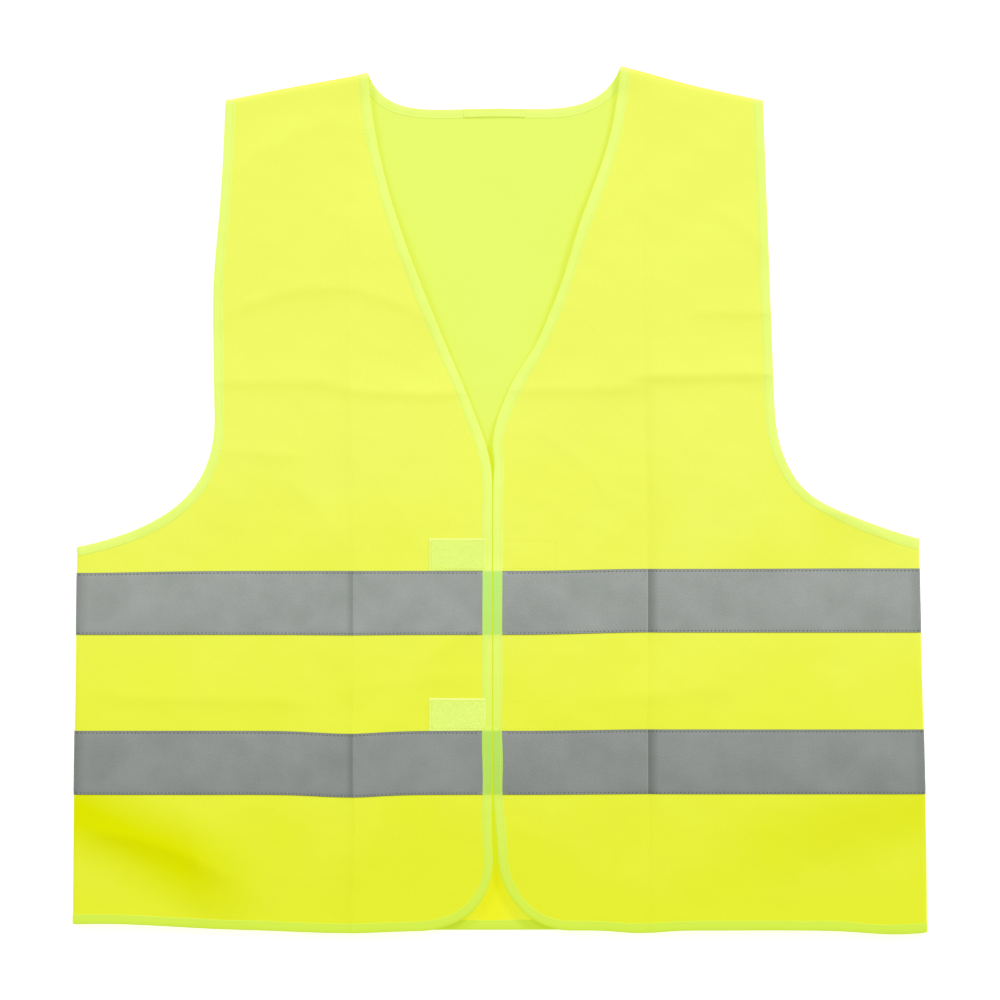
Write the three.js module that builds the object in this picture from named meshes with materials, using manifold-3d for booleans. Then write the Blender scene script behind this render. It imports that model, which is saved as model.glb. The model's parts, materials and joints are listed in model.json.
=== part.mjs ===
// A high-visibility safety vest with hook-and-loop closures, laid flat on its back with the fronts closed.
// +X points to the wearer's left, +Y from the hem to the neck, and +Z out of the front of the vest.
// The vest lies on z = 0, and x = y = 0 is the middle of its outline. All sizes are in millimetres.
import * as THREE from "three";
import { mergeVertices } from "three/addons/utils/BufferGeometryUtils.js";
import Module from "manifold-3d";

// ---- Driving dimensions of the cut pieces ----
const BODY_WIDTH = 664; // side fold to side fold, laid flat
const BODY_LENGTH = 672; // highest point of the shoulder to the hem
const NECK_WIDTH = 198; // neck end of one shoulder to the other
const NECKLINE_DEPTH = 308; // highest shoulder point to where the fronts meet
const BACK_NECK_DROP = 29; // highest shoulder point to the middle of the back neck
const SHOULDER_WIDTH = 420; // arm end of one shoulder to the other
const SHOULDER_DROP = 23; // how far the shoulder falls towards the arm
const ARMHOLE_DEPTH = 370; // highest shoulder point to the underarm
const ARMHOLE_SCOOP = 104; // height over which the armhole turns out to the side
const CHEST_FLARE = 9; // how far the armhole leans out before that turn
const CORNER_RADIUS = 58; // rounded lower corner of each front
const FOLD = 90; // middle of the vest to the line that each front flap folds open about
const FRONT_GAP = 0.8; // between the two front edges

// ---- Cloth, tape, binding and closures ----
const CLOTH = 0.4; // thickness of the knitted cloth
const LOFT = 6.6; // height of the space between back and front
const BAND_HEIGHT = 50;
const BAND_THICKNESS = 0.4;
const BAND_BELOW_ARM = 21; // underarm to the upper reflective band
const BAND_ABOVE_HEM = 106; // hem to the lower reflective band
const BINDING_WIDTH = 7.5;
const BINDING_WALL = 0.4;
const LAP_LENGTH = 48; // where the two ends of the edge binding overlap at the back neck
const SEAM_LEG = 4; // flat part of a side or shoulder seam, beside its fold
const CLOSURE_REACH = 50; // front edge to the far end of a closure strip
const CLOSURE_HEIGHT = 25;
const CLOSURE_LIFT = 0.5; // closure strip above the band it sits over
const LOOP_THICKNESS = 1;
const HOOK_THICKNESS = 0.8;
const THREAD = 0.2; // how proud a row of stitches stands
const ROW_WIDTH = 0.6;
const ROW_INSET = 2.2; // band edge to its row of stitches
const GAP = 0.3; // between pieces that would otherwise touch edge to edge
const MARGIN = 1; // how far a cutting shape runs past what it cuts
const CURVE_STEPS = 14; // segments in each curved stretch of an outline
const CORNER_STEPS = 10;
const FOLD_STEPS = 8; // segments round the fold of a seam

// ---- How the curved edges bow: each handle is a share of the curve's own width and height ----
const NECKLINE_UPPER_HANDLE = [0.91, 0.41]; // across from the middle, down from the shoulder
const NECKLINE_LOWER_HANDLE = [0.33, 0.32]; // across from the middle, up from where the fronts meet
const ARMHOLE_LOW_HANDLE = [0.45, 0.12]; // out from the chest, up from the underarm
const ARMHOLE_HIGH_HANDLE = [0.02, 0.33];
const BACK_NECK_TURN_HANDLE = [0.85, 1.24]; // across from the middle, down from the shoulder
const BACK_NECK_FLAT_HANDLE = [0.5, 1];

// ---- Levels, from the floor up ----
const BACK_LOW = BAND_THICKNESS;
const BACK_HIGH = BACK_LOW + CLOTH;
const FRONT_LOW = BACK_HIGH + LOFT;
const FRONT_HIGH = FRONT_LOW + CLOTH;
const BAND_HIGH = FRONT_HIGH + BAND_THICKNESS;

// ---- Places worked out from the sizes above ----
const TOP = BODY_LENGTH / 2;
const HEM = -BODY_LENGTH / 2;
const SIDE = BODY_WIDTH / 2;
const FRONT_EDGE = FRONT_GAP / 2;
const NECK_HALF = NECK_WIDTH / 2;
const SEAM_RADIUS = (FRONT_HIGH - BACK_LOW) / 2;
const SEAM_DEPTH = SEAM_RADIUS + SEAM_LEG;
const RECESS = BINDING_WALL + GAP; // how far a bound edge of cloth stays inside its binding
const NECK_POINT = new THREE.Vector2(NECK_HALF, TOP);
const ARM_POINT = new THREE.Vector2(SHOULDER_WIDTH / 2, TOP - SHOULDER_DROP);
const UNDERARM = new THREE.Vector2(SIDE, TOP - ARMHOLE_DEPTH);
const PANEL_SIDE = SIDE - SEAM_DEPTH - GAP;
const BAND_LOWS = {
  upper: UNDERARM.y - BAND_BELOW_ARM - BAND_HEIGHT,
  lower: HEM + BAND_ABOVE_HEM,
};

const wasm = await Module();
wasm.setup();

// A closed three.js geometry as a solid that can be joined and cut.
function solidOf(geometry) {
  geometry.deleteAttribute("normal");
  geometry.deleteAttribute("uv");
  const merged = mergeVertices(geometry, 1e-4);
  const vertProperties = merged.attributes.position.array;
  const triVerts = new Uint32Array(merged.index.array);
  return new wasm.Manifold(new wasm.Mesh({ numProp: 3, vertProperties, triVerts }));
}

// A solid as a three.js geometry again.
function geometryOf(solid) {
  const { vertProperties, triVerts } = solid.getMesh();
  const geometry = new THREE.BufferGeometry();
  geometry.setAttribute("position", new THREE.BufferAttribute(new Float32Array(vertProperties), 3));
  geometry.setIndex(new THREE.BufferAttribute(new Uint32Array(triVerts), 1));
  return geometry;
}

// ---- Outlines: lists of points that keep the cloth on their left ----
const mirrored = (points) => points.map((p) => new THREE.Vector2(-p.x, p.y)).reverse();
const onSide = (points, side) => (side > 0 ? points : mirrored(points));
const point = (x, y) => new THREE.Vector2(x, y);

// The neckline edge of the left front, from the shoulder down to where the fronts meet.
function necklineEdge() {
  const meet = point(FRONT_EDGE, TOP - NECKLINE_DEPTH);
  const [upperAcross, upperDown] = NECKLINE_UPPER_HANDLE;
  const [lowerAcross, lowerUp] = NECKLINE_LOWER_HANDLE;
  const upper = point(NECK_HALF * upperAcross, TOP - NECKLINE_DEPTH * upperDown);
  const lower = point(NECK_HALF * lowerAcross, meet.y + NECKLINE_DEPTH * lowerUp);
  return new THREE.CubicBezierCurve(NECK_POINT, upper, lower, meet).getPoints(CURVE_STEPS);
}

// The rounded corner at the foot of the left front. The front edge runs straight down to it.
function cornerEdge() {
  const centre = point(FRONT_EDGE + CORNER_RADIUS, HEM + CORNER_RADIUS);
  const corner = new THREE.EllipseCurve(centre.x, centre.y, CORNER_RADIUS, CORNER_RADIUS,
    Math.PI, 1.5 * Math.PI);
  return corner.getPoints(CORNER_STEPS);
}

// The armhole, from the underarm up to the shoulder.
function armholeEdge() {
  const chest = point(ARM_POINT.x + CHEST_FLARE, UNDERARM.y + ARMHOLE_SCOOP);
  const reach = SIDE - chest.x;
  const [lowOut, lowUp] = ARMHOLE_LOW_HANDLE;
  const [highOut, highUp] = ARMHOLE_HIGH_HANDLE;
  const low = point(chest.x + reach * lowOut, UNDERARM.y + ARMHOLE_SCOOP * lowUp);
  const high = point(chest.x + reach * highOut, UNDERARM.y + ARMHOLE_SCOOP * highUp);
  const scoop = new THREE.CubicBezierCurve(UNDERARM, low, high, chest).getPoints(CURVE_STEPS);
  return [...scoop, ARM_POINT];
}

// The back of the neck, from the left shoulder to the right one.
function backNeckEdge() {
  const middle = point(0, TOP - BACK_NECK_DROP);
  const [turnAcross, turnDown] = BACK_NECK_TURN_HANDLE;
  const [flatAcross, flatDown] = BACK_NECK_FLAT_HANDLE;
  const turn = point(NECK_HALF * turnAcross, TOP - BACK_NECK_DROP * turnDown);
  const flat = point(NECK_HALF * flatAcross, TOP - BACK_NECK_DROP * flatDown);
  const half = new THREE.CubicBezierCurve(NECK_POINT, turn, flat, middle).getPoints(CURVE_STEPS);
  return [...half, ...mirrored(half).slice(1)];
}

const hemEdge = (from, to) => [point(from, HEM), point(to, HEM)];
const frontEdge = () => [...necklineEdge(), ...cornerEdge(), point(FOLD + BINDING_WIDTH, HEM)];

// Moves an outline a distance to its left, with mitred corners.
function inset(points, distance) {
  return points.map((p, i) => {
    const before = points[Math.max(i - 1, 0)];
    const after = points[Math.min(i + 1, points.length - 1)];
    const into = (i > 0 ? p.clone().sub(before) : after.clone().sub(p)).normalize();
    const out = (i < points.length - 1 ? after.clone().sub(p) : p.clone().sub(before)).normalize();
    const along = into.clone().add(out).normalize();
    const mitre = distance / along.dot(into);
    return point(p.x - along.y * mitre, p.y + along.x * mitre);
  });
}

// ---- Solids ----
function plate(points, low, high) {
  const shape = new THREE.Shape(points);
  const geometry = new THREE.ExtrudeGeometry(shape, { depth: high - low, bevelEnabled: false });
  return geometry.translate(0, 0, low);
}

function boxBetween([x0, y0, z0], [x1, y1, z1]) {
  const geometry = new THREE.BoxGeometry(Math.abs(x1 - x0), Math.abs(y1 - y0), Math.abs(z1 - z0));
  return geometry.translate((x0 + x1) / 2, (y0 + y1) / 2, (z0 + z1) / 2);
}

// A folded strip that hides a raw edge: two walls with a slot between them for the cloth.
function binding(edge, clothLow, clothHigh) {
  const strip = [...edge, ...inset(edge, BINDING_WIDTH).reverse()];
  const slot = [...inset(edge, BINDING_WALL), ...inset(edge, BINDING_WIDTH + MARGIN).reverse()];
  const outer = solidOf(plate(strip, clothLow - BINDING_WALL, clothHigh + BINDING_WALL));
  return outer.subtract(solidOf(plate(slot, clothLow, clothHigh)));
}

// A seam that closes the vest along an edge: cloth folded round from the back to the front.
function foldedSeam(from, to) {
  const profile = new THREE.Shape();
  const inner = SEAM_RADIUS - CLOTH;
  profile.moveTo(-SEAM_DEPTH, SEAM_RADIUS);
  profile.lineTo(-SEAM_DEPTH, inner);
  profile.absarc(-SEAM_RADIUS, 0, inner, Math.PI / 2, -Math.PI / 2, true);
  profile.lineTo(-SEAM_DEPTH, -inner);
  profile.lineTo(-SEAM_DEPTH, -SEAM_RADIUS);
  profile.absarc(-SEAM_RADIUS, 0, SEAM_RADIUS, -Math.PI / 2, Math.PI / 2, false);
  const depth = from.distanceTo(to);
  const options = { depth, bevelEnabled: false, curveSegments: FOLD_STEPS };
  const geometry = new THREE.ExtrudeGeometry(profile, options);
  const along = new THREE.Vector3(to.x - from.x, to.y - from.y, 0).normalize();
  const up = new THREE.Vector3(0, 0, 1);
  const outward = up.clone().cross(along);
  const placed = new THREE.Matrix4().makeBasis(outward, up, along);
  placed.setPosition(from.x, from.y, BACK_LOW + SEAM_RADIUS);
  return geometry.applyMatrix4(placed);
}

// ---- Regions that the cloth, bands and bindings are trimmed to ----
const REGION_LOW = -MARGIN;
const REGION_HIGH = BAND_HIGH + BINDING_WALL + MARGIN;
const BEYOND = 20; // how far a region runs past the outline

// The inner edge of the shoulder seam, continued as a straight line to any x.
function underShoulder(x) {
  const run = ARM_POINT.clone().sub(NECK_POINT);
  const slope = run.y / run.x;
  const depth = (SEAM_DEPTH + GAP) * Math.hypot(1, slope);
  return NECK_POINT.y + (x - NECK_POINT.x) * slope - depth;
}

// The neckline binding is wider than the flap above this height, so the flap starts below it.
function flapTop() {
  const inner = inset(necklineEdge(), BINDING_WIDTH);
  return inner.find((p) => p.x < FOLD - GAP).y;
}

const region = (points) => solidOf(plate(points, REGION_LOW, REGION_HIGH));

function backRegion() {
  const edge = point(PANEL_SIDE, underShoulder(PANEL_SIDE));
  return region([point(-edge.x, HEM - BEYOND), point(edge.x, HEM - BEYOND), edge,
    point(0, underShoulder(0)), point(-edge.x, edge.y)]);
}

function outerFrontRegion(side) {
  const inboard = FOLD + GAP / 2;
  const neck = FRONT_EDGE + BEYOND;
  return region(onSide([point(inboard, HEM - BEYOND), point(PANEL_SIDE, HEM - BEYOND),
    point(PANEL_SIDE, underShoulder(PANEL_SIDE)), point(neck, underShoulder(neck)),
    point(neck, flapTop() + GAP / 2), point(inboard, flapTop() + GAP / 2)], side));
}

function flapRegion(side) {
  const outboard = FOLD - GAP / 2;
  return region(onSide([point(0, HEM - BEYOND), point(outboard, HEM - BEYOND),
    point(outboard, flapTop() - GAP / 2), point(0, flapTop() - GAP / 2)], side));
}

// ---- Materials ----
const finish = (color, roughness, metalness = 0) =>
  new THREE.MeshStandardMaterial({ color, roughness, metalness });
const clothFinish = finish(0xe8f542, 0.85);
const bindingFinish = finish(0xdcf77c, 0.8);
const bandFinish = finish(0x969e98, 0.5, 0.3);
const loopFinish = finish(0xdef588, 0.95);
const hookFinish = finish(0xd6ee6c, 0.7);
const threadFinish = finish(0xcfe85a, 0.6);

function piece(name, geometry, material) {
  const mesh = new THREE.Mesh(geometry, material);
  mesh.name = name;
  return mesh;
}

const trimmed = (solid, area) => geometryOf(solid.intersect(area));

// ---- Sub-parts ----
const LEVELS = Object.keys(BAND_LOWS);

function backPieces() {
  const group = new THREE.Group();
  const area = backRegion();
  const sleeve = inset(armholeEdge(), RECESS);
  const neck = inset(backNeckEdge(), RECESS);
  const hem = inset(hemEdge(-SIDE, SIDE), RECESS);
  const cloth = solidOf(plate([...hem, ...sleeve, ...neck, ...mirrored(sleeve)], BACK_LOW, BACK_HIGH));
  group.add(piece("back_panel", trimmed(cloth, area), clothFinish));
  const bound = (name, edge) => {
    const made = trimmed(binding(edge, BACK_LOW, BACK_HIGH), area);
    group.add(piece(name, made, bindingFinish));
  };
  bound("back_neck_binding", backNeckEdge());
  bound("back_hem_binding", hemEdge(-SIDE, SIDE));
  bound("left_armhole_binding_back", armholeEdge());
  bound("right_armhole_binding_back", mirrored(armholeEdge()));
  return group;
}

// The lap joint of the binding lies on its inner face, in the middle of the back neck.
function neckLap() {
  const top = TOP - BACK_NECK_DROP;
  const low = BACK_HIGH + BINDING_WALL;
  const lap = boxBetween([-LAP_LENGTH / 2, top - BINDING_WIDTH, low],
    [LAP_LENGTH / 2, top - BINDING_WALL, low + BINDING_WALL]);
  return piece("neck_binding_lap", lap, bindingFinish);
}

function backBands() {
  const group = new THREE.Group();
  for (const level of LEVELS) {
    const low = BAND_LOWS[level];
    const band = boxBetween([-PANEL_SIDE, low, 0], [PANEL_SIDE, low + BAND_HEIGHT, BAND_THICKNESS]);
    group.add(piece(`back_${level}_band`, band, bandFinish));
    const run = PANEL_SIDE - ROW_INSET;
    const rows = stitchFrame(-run, run, low, [-1, 1]);
    const stitching = geometryOf(solidOf(plate(rows.outline, BACK_HIGH, BACK_HIGH + THREAD))
      .subtract(solidOf(plate(rows.inside, BACK_HIGH - MARGIN, BACK_HIGH + MARGIN))));
    group.add(piece(`back_${level}_stitching`, stitching, threadFinish));
  }
  return group;
}

// Rows of stitches along both edges of a band between x0 and x1, joined by a row across each end in ends.
function stitchFrame(x0, x1, low, ends) {
  const y0 = low + ROW_INSET;
  const y1 = low + BAND_HEIGHT - ROW_INSET;
  const rectangle = (a, b, c, d) => [point(a, c), point(b, c), point(b, d), point(a, d)];
  const left = ends.includes(-1) ? x0 + ROW_WIDTH : x0 - MARGIN;
  const right = ends.includes(1) ? x1 - ROW_WIDTH : x1 + MARGIN;
  return {
    outline: rectangle(x0, x1, y0, y1),
    inside: rectangle(left, right, y0 + ROW_WIDTH, y1 - ROW_WIDTH),
  };
}

function seams(side) {
  const group = new THREE.Group();
  const hand = side > 0 ? "left" : "right";
  const sideLine = onSide([UNDERARM, point(SIDE, HEM)], side);
  const shoulderLine = onSide([NECK_POINT, ARM_POINT], side);
  group.add(piece(`${hand}_side_seam`, foldedSeam(...sideLine), clothFinish));
  group.add(piece(`${hand}_shoulder_seam`, foldedSeam(...shoulderLine), clothFinish));
  return group;
}

// The outer part of one front, which the shoulder and side seams hold to the back.
function outerFront(side) {
  const group = new THREE.Group();
  const hand = side > 0 ? "left" : "right";
  const area = outerFrontRegion(side);
  group.add(piece(`${hand}_front_panel`, trimmed(frontCloth(side), area), clothFinish));
  const bound = (name, edge) => {
    const made = trimmed(binding(onSide(edge, side), FRONT_LOW, FRONT_HIGH), area);
    group.add(piece(`${hand}_${name}`, made, bindingFinish));
  };
  bound("armhole_binding_front", armholeEdge());
  bound("front_hem_binding", hemEdge(FOLD - BINDING_WIDTH, SIDE));
  const neck = binding(onSide(necklineEdge(), side), FRONT_LOW, BAND_HIGH);
  group.add(piece(`${hand}_front_neck_binding`, trimmed(neck, area), bindingFinish));
  for (const level of LEVELS) {
    const x0 = FOLD + GAP / 2;
    addBand(group, `${hand}_front_${level}`, side, x0, PANEL_SIDE, BAND_LOWS[level]);
    addStitching(group, `${hand}_front_${level}`, side, x0, PANEL_SIDE - ROW_INSET, BAND_LOWS[level], 1);
  }
  return group;
}

// The inner part of one front, from the fold line to the front edge, which opens.
function frontFlap(side) {
  const group = new THREE.Group();
  const hand = side > 0 ? "left" : "right";
  const area = flapRegion(side);
  group.add(piece(`${hand}_flap_panel`, trimmed(frontCloth(side), area), clothFinish));
  const edge = binding(onSide(frontEdge(), side), FRONT_LOW, BAND_HIGH);
  group.add(piece(`${hand}_front_edge_binding`, trimmed(edge, area), bindingFinish));
  const x1 = FOLD - GAP / 2;
  const inboard = FRONT_EDGE + BINDING_WIDTH + GAP;
  for (const level of LEVELS) {
    addBand(group, `${hand}_flap_${level}`, side, FRONT_EDGE + RECESS, x1, BAND_LOWS[level]);
    addStitching(group, `${hand}_flap_${level}`, side, inboard + ROW_INSET, x1, BAND_LOWS[level], -1);
    const low = BAND_LOWS[level] + BAND_HEIGHT + CLOSURE_LIFT;
    const [z0, z1] = side > 0 ? [FRONT_LOW - HOOK_THICKNESS, FRONT_LOW]
      : [FRONT_HIGH, FRONT_HIGH + LOOP_THICKNESS];
    const strip = boxBetween([side * inboard, low, z0],
      [side * (FRONT_EDGE + CLOSURE_REACH), low + CLOSURE_HEIGHT, z1]);
    group.add(piece(side > 0 ? `${level}_hook_strip` : `${level}_loop_strip`, strip,
      side > 0 ? hookFinish : loopFinish));
  }
  return group;
}

function frontCloth(side) {
  const front = inset([...necklineEdge(), ...cornerEdge(), point(SIDE, HEM)], RECESS);
  const outline = onSide([...front, ...inset(armholeEdge(), RECESS)], side);
  return solidOf(plate(outline, FRONT_LOW, FRONT_HIGH));
}

function addBand(group, name, side, x0, x1, low) {
  const band = boxBetween([side * x0, low, FRONT_HIGH], [side * x1, low + BAND_HEIGHT, BAND_HIGH]);
  group.add(piece(`${name}_band`, band, bandFinish));
}

function addStitching(group, name, side, x0, x1, low, end) {
  const rows = stitchFrame(x0, x1, low, [end]);
  const outline = solidOf(plate(onSide(rows.outline, side), BAND_HIGH, BAND_HIGH + THREAD));
  const inside = solidOf(plate(onSide(rows.inside, side), BAND_HIGH - MARGIN, BAND_HIGH + MARGIN));
  group.add(piece(`${name}_stitching`, geometryOf(outline.subtract(inside)), threadFinish));
}

const vest = new THREE.Group();
vest.add(backPieces(), neckLap(), backBands());
for (const side of [-1, 1]) vest.add(seams(side), outerFront(side), frontFlap(side));

export default vest;
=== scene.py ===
# %% [markdown]
# # A high visibility vest, laid flat and closed
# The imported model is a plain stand-in: flat plates of the right size in the right places. This
# lesson puts the real cloth, tapes, bindings and threads around it. The frame itself is never
# moved or reshaped, because it also says how the vest moves.

# %% Load the frame
import json
import bpy
import numpy as np
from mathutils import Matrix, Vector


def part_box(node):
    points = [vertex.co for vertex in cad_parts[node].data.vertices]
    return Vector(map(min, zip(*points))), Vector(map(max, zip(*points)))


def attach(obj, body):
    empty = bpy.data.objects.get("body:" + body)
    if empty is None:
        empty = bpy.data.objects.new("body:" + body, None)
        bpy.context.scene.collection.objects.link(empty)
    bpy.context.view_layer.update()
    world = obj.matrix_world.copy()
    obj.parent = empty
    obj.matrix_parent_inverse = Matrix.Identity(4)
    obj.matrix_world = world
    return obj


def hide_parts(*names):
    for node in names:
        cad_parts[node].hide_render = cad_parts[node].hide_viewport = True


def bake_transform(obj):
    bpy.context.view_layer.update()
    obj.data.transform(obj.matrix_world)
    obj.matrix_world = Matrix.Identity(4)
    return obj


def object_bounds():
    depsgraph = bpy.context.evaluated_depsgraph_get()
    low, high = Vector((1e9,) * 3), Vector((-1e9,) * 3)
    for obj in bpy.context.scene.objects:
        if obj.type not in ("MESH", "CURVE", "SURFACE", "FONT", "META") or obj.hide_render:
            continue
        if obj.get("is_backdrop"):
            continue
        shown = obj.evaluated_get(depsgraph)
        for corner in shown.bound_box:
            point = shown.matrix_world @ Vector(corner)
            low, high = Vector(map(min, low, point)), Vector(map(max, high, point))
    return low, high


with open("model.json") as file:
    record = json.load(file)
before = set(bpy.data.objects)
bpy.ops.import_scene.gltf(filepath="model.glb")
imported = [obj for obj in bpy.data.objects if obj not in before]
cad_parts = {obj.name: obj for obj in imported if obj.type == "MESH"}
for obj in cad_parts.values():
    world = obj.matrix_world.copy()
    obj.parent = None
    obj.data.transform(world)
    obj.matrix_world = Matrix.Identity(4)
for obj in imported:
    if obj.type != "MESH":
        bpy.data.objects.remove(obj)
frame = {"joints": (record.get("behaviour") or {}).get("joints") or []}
cad_low, cad_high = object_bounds()
print("frame box in mm:", [round(v * 1000, 1) for v in cad_high - cad_low])

# %% [markdown]
# ## Camera, floor and light
# A flat garment is usually shown from straight above, so the camera hangs over the middle and
# looks down. It stands three metres away with a long lens, which keeps the outline true. The light
# is a bright even room plus two large soft lamps beyond the neck end, the stronger one to the
# right. They rake over the cloth a little, and that is what makes creases readable. The room looks
# white to the camera, but it lights the vest with less than that.

# %% Camera
CLOTH_TOP = cad_high.z
CAMERA_DISTANCE = 3.0
WIDTH_SEEN = 0.78125
SENSOR = 36.0
CAMERA_SHIFT = 0.0004
FAR_CLIP = 100
camera = bpy.data.objects.new("camera", bpy.data.cameras.new("camera"))
camera.data.sensor_width = SENSOR
camera.data.lens = SENSOR * CAMERA_DISTANCE / WIDTH_SEEN
camera.data.clip_end = FAR_CLIP
camera.location = (0, CAMERA_SHIFT, CLOTH_TOP + CAMERA_DISTANCE)
scene = bpy.context.scene
scene.collection.objects.link(camera)
scene.camera = camera
scene.view_settings.view_transform = "Standard"
print("lens in mm:", round(camera.data.lens, 1))

# %% Helpers for materials
def new_material(name):
    """A new material with an empty node tree; returns both."""
    material = bpy.data.materials.new(name)
    material.use_nodes = True
    tree = material.node_tree
    tree.nodes.clear()
    return material, tree


def add(tree, kind, inputs=None, **settings):
    """Adds a node. Each input is a number, a colour or an output of another node."""
    node = tree.nodes.new("ShaderNode" + kind)
    for key, value in settings.items():
        setattr(node, key, value)
    for key, value in (inputs or {}).items():
        if isinstance(value, bpy.types.NodeSocket):
            tree.links.new(value, node.inputs[key])
        else:
            node.inputs[key].default_value = value
    return node


def shade(tree, **sockets):
    """The surface shader of a material, joined to its output."""
    inputs = {key.replace("_", " "): value for key, value in sockets.items()}
    surface = add(tree, "BsdfPrincipled", inputs)
    add(tree, "OutputMaterial", {"Surface": surface.outputs["BSDF"]})


# Each of these helpers returns an output that the next node can take.
def maths(tree, operation, first, second=0.5):
    """A sum, product or the like of two numbers."""
    return add(tree, "Math", {0: first, 1: second}, operation=operation).outputs[0]


def rescale(tree, value, low, high, to_low=0.0, to_high=1.0, curve="LINEAR"):
    """Carries the range from low to high to another range, and stops at its ends."""
    inputs = {"Value": value, 1: low, 2: high, 3: to_low, 4: to_high}
    return add(tree, "MapRange", inputs, interpolation_type=curve).outputs[0]


def mix(tree, factor, first, second):
    """The first colour at factor 0, the second at 1."""
    inputs = {"Factor": factor, 6: first, 7: second}
    return add(tree, "Mix", inputs, data_type="RGBA").outputs[2]


def scaled(tree, colour, factor):
    """A colour times a number."""
    return add(tree, "VectorMath", {0: colour, 3: factor}, operation="SCALE").outputs[0]


def noise(tree, where, scale, detail, roughness=0.5):
    """Cloudy values about a half."""
    inputs = {"Vector": where, "Scale": scale, "Detail": detail, "Roughness": roughness}
    return add(tree, "TexNoise", inputs).outputs[0]


def ribs(tree, where, direction, period, distortion=0.0):
    """Waves of a period in metres. The wave node at scale 1 has a period of 2 pi / 20."""
    inputs = {"Vector": where, "Scale": 2 * np.pi / 20 / period, "Distortion": distortion}
    return add(tree, "TexWave", inputs, bands_direction=direction).outputs["Fac"]


def bumped(tree, height, strength, distance):
    """The surface direction that a small relief would give."""
    inputs = {"Height": height, "Strength": strength, "Distance": distance}
    return add(tree, "Bump", inputs).outputs[0]


def ramp(tree, factor, stops):
    """A colour ramp from (position, colour) pairs."""
    node = add(tree, "ValToRGB", {"Fac": factor})
    elements = node.color_ramp.elements
    for _ in stops[2:]:
        elements.new(0.5)
    for element, (position, colour) in zip(elements, stops):
        element.position = position
        element.color = (*colour, 1)
    return node.outputs[0]


def on_pattern(tree):
    """The place on the flat pattern, kept as the piece's UV map."""
    return add(tree, "UVMap", uv_map="pattern").outputs["UV"]


# %% Floor, room and lamps
FLOOR_HALF = 12.0
FLOOR_GLOW = 0.40
ROOM_LIGHT = 0.74
LAMP_SIZE = 2.0
floor_material, tree = new_material("studio_floor")
speck = add(tree, "TexNoise", {"Scale": 3.0, "Detail": 2.0})
paint = add(tree, "ValToRGB", {"Fac": speck.outputs[0]})
paint.color_ramp.elements[0].color = (0.93, 0.93, 0.93, 1)
paint.color_ramp.elements[1].color = (0.97, 0.97, 0.97, 1)
shade(tree, Base_Color=paint.outputs[0], Roughness=0.9, Specular_IOR_Level=0.1,
      Emission_Color=(1, 1, 1, 1), Emission_Strength=FLOOR_GLOW)
floor_mesh = bpy.data.meshes.new("floor")
corners = np.array([(-1, -1), (1, -1), (1, 1), (-1, 1)]) * FLOOR_HALF
floor_mesh.from_pydata(np.c_[corners, np.zeros(4)].tolist(), [], [(0, 1, 2, 3)])
floor_mesh.materials.append(floor_material)
floor = bpy.data.objects.new("floor", floor_mesh)
scene.collection.objects.link(floor)
floor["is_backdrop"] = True

world = bpy.data.worlds.new("room")
world.use_nodes = True
room_tree = world.node_tree
seen = add(room_tree, "LightPath").outputs["Is Camera Ray"]
strength = rescale(room_tree, seen, 0.0, 1.0, ROOM_LIGHT, 1.0)
room_tree.nodes["Background"].inputs[0].default_value = (1, 1, 1, 1)
room_tree.links.new(strength, room_tree.nodes["Background"].inputs[1])
scene.world = world


def lamp(name, place, power):
    """A square soft lamp at a place, facing the middle of the vest."""
    light = bpy.data.lights.new(name, "AREA")
    light.size = LAMP_SIZE
    light.energy = power
    item = bpy.data.objects.new(name, light)
    item.location = place
    item.rotation_euler = (-item.location).to_track_quat("-Z", "Y").to_euler()
    scene.collection.objects.link(item)


lamp("key_lamp", (4.0, 5.4, 3.8), 560)
lamp("second_lamp", (-4.2, 5.0, 3.8), 320)
print("stage ready")

# %% [markdown]
# ## Sizes
# Every place is read from the frame, in metres. The two cloths lie one above the other and join
# at the sides and shoulders, where the cloth turns over through a half circle. The height of that
# turn is half the distance between the two cloths.

# %% Read the sizes
def span(node, axis):
    """Lowest and highest coordinate of a frame node along one axis."""
    low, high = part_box(node)
    return low[axis], high[axis]


SIDE, TOP, HEM = cad_high.x, cad_high.y, cad_low.y
BACK_Z = sum(span("back_panel", 2)) / 2
FRONT_Z = sum(span("left_front_panel", 2)) / 2
TURN = (FRONT_Z - BACK_Z) / 2
MIDDLE_Z = BACK_Z + TURN
LEVELS = {"upper": span("back_upper_band", 1), "lower": span("back_lower_band", 1)}
UNDERARM = np.array([SIDE, span("left_side_seam", 1)[1]])
FOLD = abs(frame["joints"][0]["pos_m"][0])
MM = 0.001
print("cloth levels in mm:", round(BACK_Z / MM, 2), round(FRONT_Z / MM, 2), "fold at", FOLD)

# %% [markdown]
# ## The cut of the vest
# A pattern cutter draws half of the vest and turns the paper over for the other half, so the
# curves below describe the wearer's left half only. Necklines and armholes are smooth curves with
# two handles each, and the lower front corner is a quarter of a circle.

# %% Pattern curves
NECK = np.array([0.099, TOP])
ARM = np.array([0.210, TOP - 0.023])
MEET = np.array([0.0004, TOP - 0.308])
CHEST = UNDERARM + (0.219 - SIDE, 0.104)
CORNER = 0.058
BACK_NECK_DROP = 0.029
FINE = 0.001
SHOULDER = (ARM - NECK) / np.hypot(*(ARM - NECK))
OUT_OF_SHOULDER = np.array([-SHOULDER[1], SHOULDER[0]])


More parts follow.
